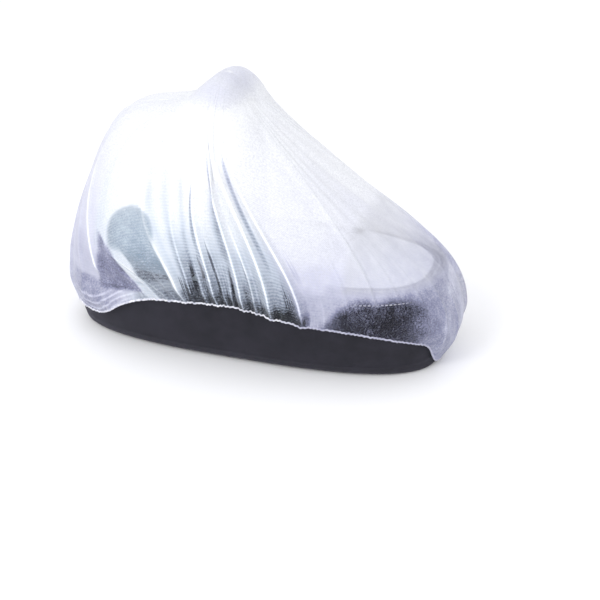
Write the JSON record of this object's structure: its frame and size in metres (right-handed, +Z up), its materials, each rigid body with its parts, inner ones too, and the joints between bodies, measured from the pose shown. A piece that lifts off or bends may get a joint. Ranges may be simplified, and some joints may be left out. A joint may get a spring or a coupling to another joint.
{
  "type": "pram mosquito net on a hooded pram body",
  "caption": "Sheer white net with a gathered elastic hem, drawn over a pram's hood and dark body so that it tents from the front bow to the foot end.",
  "frame": {"origin": "middle of the flat underside of the pram body", "axes": "+Z up, +X towards the foot end, -Y towards the side that faces the camera"},
  "size_m": [0.9575, 0.4759, 0.628],
  "materials": {
    "net": "sheer white mesh",
    "body": "dark woven cover, matt",
    "liner": "pale quilted cotton",
    "hood": "pale blue-grey canvas",
    "front_bow": "tube in pale cloth",
    "pivot": "black, matt",
    "foot_cover": "pale woven cover with a dark stitched border"
  },
  "bodies": {
    "root": {"net": "net", "body": "body", "liner": "liner", "hood": "hood", "front_bow": "front_bow", "pivot_near": "pivot", "pivot_far": "pivot", "foot_cover": "foot_cover"}
  },
  "joints": []
}
